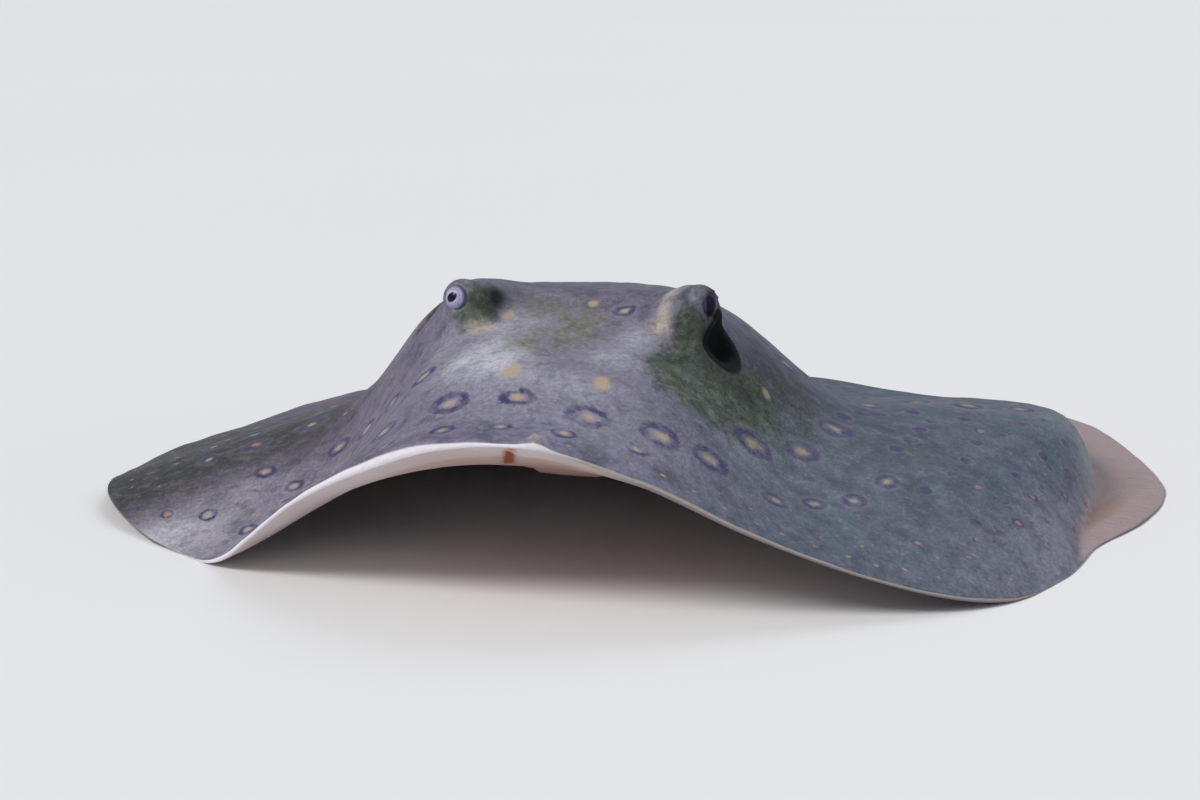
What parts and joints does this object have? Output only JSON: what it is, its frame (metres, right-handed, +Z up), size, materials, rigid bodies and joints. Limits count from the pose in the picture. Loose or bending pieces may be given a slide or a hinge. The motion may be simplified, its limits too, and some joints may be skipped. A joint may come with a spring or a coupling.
{
  "type": "ocellate river stingray",
  "caption": "Young ocellate river stingray lying with its snout raised, its wings drooping to the floor on both sides and its tail laid out behind.",
  "frame": {"origin": "on the floor, under the middle of the animal's overall length and width", "axes": "+Z up; the head points to -Y and the tail to +Y; the animal's left side is +X"},
  "size_m": [0.2107, 0.337, 0.0497],
  "materials": {
    "skin": "smooth, moist skin, mauve grey above with ringed ocelli and cream white below",
    "sting": "satin bone",
    "eye": "wet and clear over a pale blue iris"
  },
  "bodies": {
    "root": {"head": "skin", "trunk": "skin", "pectoral_fin_left_front": "skin", "pectoral_fin_left_rear": "skin", "pectoral_fin_right_front": "skin", "pectoral_fin_right_rear": "skin", "pelvic_fin_left": "skin", "pelvic_fin_right": "skin", "tail_base": "skin", "tail_middle": "skin", "tail_tip": "skin", "tail_sting": "sting", "eye_left": "eye", "eye_right": "eye"}
  },
  "joints": []
}
